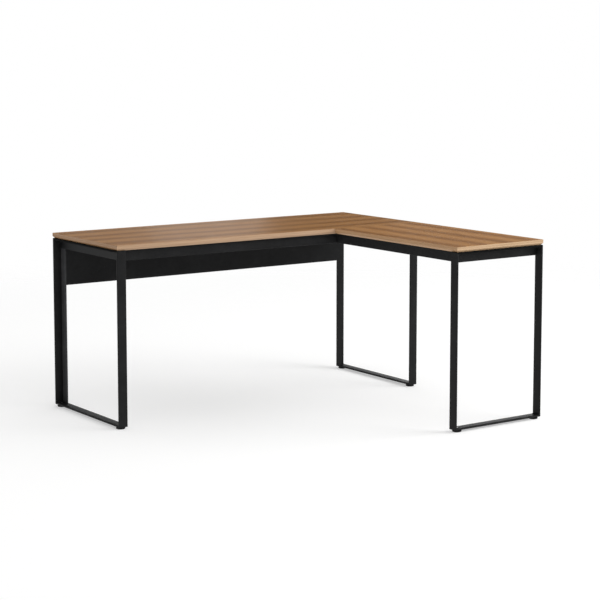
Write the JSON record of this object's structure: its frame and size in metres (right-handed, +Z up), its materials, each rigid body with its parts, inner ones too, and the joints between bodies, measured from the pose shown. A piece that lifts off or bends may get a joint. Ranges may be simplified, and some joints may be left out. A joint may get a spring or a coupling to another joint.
{
  "type": "corner desk",
  "caption": "L-shaped corner desk with wood-look tops, welded flat-bar loop legs in black, a steel modesty panel and screw levelling glides.",
  "frame": {"origin": "on the floor, at the centre of the rectangle that the desk stands in", "axes": "+X to the right along the main top, +Y to the back, where the modesty panel is, +Z up"},
  "size_m": [1.524, 1.369, 0.743],
  "materials": {
    "main_wood": "brown wood-grain laminate, grain along the main top's length, satin",
    "return_wood": "the same laminate with its grain along the return's length",
    "black_coat": "fine-textured satin black powder coat",
    "panel_coat": "satin black powder coat on sheet steel",
    "zinc": "zinc-plated steel",
    "insert_zinc": "yellow-passivated zinc inserts",
    "screw_black": "black oxide screws",
    "nylon": "moulded black nylon",
    "sole_rubber": "dark rubber sole"
  },
  "bodies": {
    "desk": {"main_top": "main_wood", "return_top": "return_wood", "left_leg_top_bar": "black_coat", "left_leg_front_post": "black_coat", "left_leg_back_post": "black_coat", "left_leg_floor_bar": "black_coat", "left_leg_apron": "black_coat", "left_leg_back_web": "black_coat", "right_leg_top_bar": "black_coat", "right_leg_front_post": "black_coat", "right_leg_back_post": "black_coat", "right_leg_floor_bar": "black_coat", "right_leg_apron": "black_coat", "right_leg_back_web": "black_coat", "return_leg_top_bar": "black_coat", "return_leg_left_post": "black_coat", "return_leg_right_post": "black_coat", "return_leg_floor_bar": "black_coat", "return_leg_apron": "black_coat", "front_rail": "black_coat", "rear_rail": "black_coat", "return_left_rail": "black_coat", "return_right_rail": "black_coat", "rail_end_plates": "black_coat", "modesty_panel": "panel_coat", "top_brackets": "black_coat", "seam_plates": "zinc", "main_top_inserts": "insert_zinc", "return_top_inserts": "insert_zinc", "leg_top_screws": "screw_black", "bracket_screws": "screw_black", "seam_plate_screws": "screw_black", "rail_bolts": "screw_black", "return_joint_bolts": "screw_black", "return_joint_nuts": "screw_black", "panel_screws": "screw_black"},
    "left_front_glide": {"left_front_glide_pad": "nylon", "left_front_glide_sole": "sole_rubber"},
    "left_front_stud": {"left_front_glide_stud": "zinc"},
    "left_back_glide": {"left_back_glide_pad": "nylon", "left_back_glide_sole": "sole_rubber"},
    "left_back_stud": {"left_back_glide_stud": "zinc"},
    "right_front_glide": {"right_front_glide_pad": "nylon", "right_front_glide_sole": "sole_rubber"},
    "right_front_stud": {"right_front_glide_stud": "zinc"},
    "right_back_glide": {"right_back_glide_pad": "nylon", "right_back_glide_sole": "sole_rubber"},
    "right_back_stud": {"right_back_glide_stud": "zinc"},
    "return_left_glide": {"return_left_glide_pad": "nylon", "return_left_glide_sole": "sole_rubber"},
    "return_left_stud": {"return_left_glide_stud": "zinc"},
    "return_right_glide": {"return_right_glide_pad": "nylon", "return_right_glide_sole": "sole_rubber"},
    "return_right_stud": {"return_right_glide_stud": "zinc"}
  },
  "joints": [
    {"name": "left_front_height", "type": "slide", "parent": "desk", "child": "left_front_glide", "axis": [0, 0, -1], "range_m": [0, 0.004]},
    {"name": "left_front_screw", "type": "hinge", "parent": "left_front_glide", "child": "left_front_stud", "pos_m": [-0.742, 0.149, 0.009], "axis": [0, 0, -1], "range_deg": [0, 1152.1]},
    {"name": "left_back_height", "type": "slide", "parent": "desk", "child": "left_back_glide", "axis": [0, 0, -1], "range_m": [0, 0.004]},
    {"name": "left_back_screw", "type": "hinge", "parent": "left_back_glide", "child": "left_back_stud", "pos_m": [-0.742, 0.661, 0.009], "axis": [0, 0, -1], "range_deg": [0, 1152.1]},
    {"name": "right_front_height", "type": "slide", "parent": "desk", "child": "right_front_glide", "axis": [0, 0, -1], "range_m": [0, 0.004]},
    {"name": "right_front_screw", "type": "hinge", "parent": "right_front_glide", "child": "right_front_stud", "pos_m": [0.742, 0.149, 0.009], "axis": [0, 0, -1], "range_deg": [0, 1152.1]},
    {"name": "right_back_height", "type": "slide", "parent": "desk", "child": "right_back_glide", "axis": [0, 0, -1], "range_m": [0, 0.004]},
    {"name": "right_back_screw", "type": "hinge", "parent": "right_back_glide", "child": "right_back_stud", "pos_m": [0.742, 0.661, 0.009], "axis": [0, 0, -1], "range_deg": [0, 1152.1]},
    {"name": "return_left_height", "type": "slide", "parent": "desk", "child": "return_left_glide", "axis": [0, 0, -1], "range_m": [0, 0.004]},
    {"name": "return_left_screw", "type": "hinge", "parent": "return_left_glide", "child": "return_left_stud", "pos_m": [0.3285, -0.6645, 0.009], "axis": [0, 0, -1], "range_deg": [0, 1152.1]},
    {"name": "return_right_height", "type": "slide", "parent": "desk", "child": "return_right_glide", "axis": [0, 0, -1], "range_m": [0, 0.004]},
    {"name": "return_right_screw", "type": "hinge", "parent": "return_right_glide", "child": "return_right_stud", "pos_m": [0.7385, -0.6645, 0.009], "axis": [0, 0, -1], "range_deg": [0, 1152.1]}
  ],
  "couplings": [
    {"joint": "left_front_screw", "follows": "left_front_height", "rad_per_m": 5026.5},
    {"joint": "left_back_screw", "follows": "left_back_height", "rad_per_m": 5026.5},
    {"joint": "right_front_screw", "follows": "right_front_height", "rad_per_m": 5026.5},
    {"joint": "right_back_screw", "follows": "right_back_height", "rad_per_m": 5026.5},
    {"joint": "return_left_screw", "follows": "return_left_height", "rad_per_m": 5026.5},
    {"joint": "return_right_screw", "follows": "return_right_height", "rad_per_m": 5026.5}
  ]
}
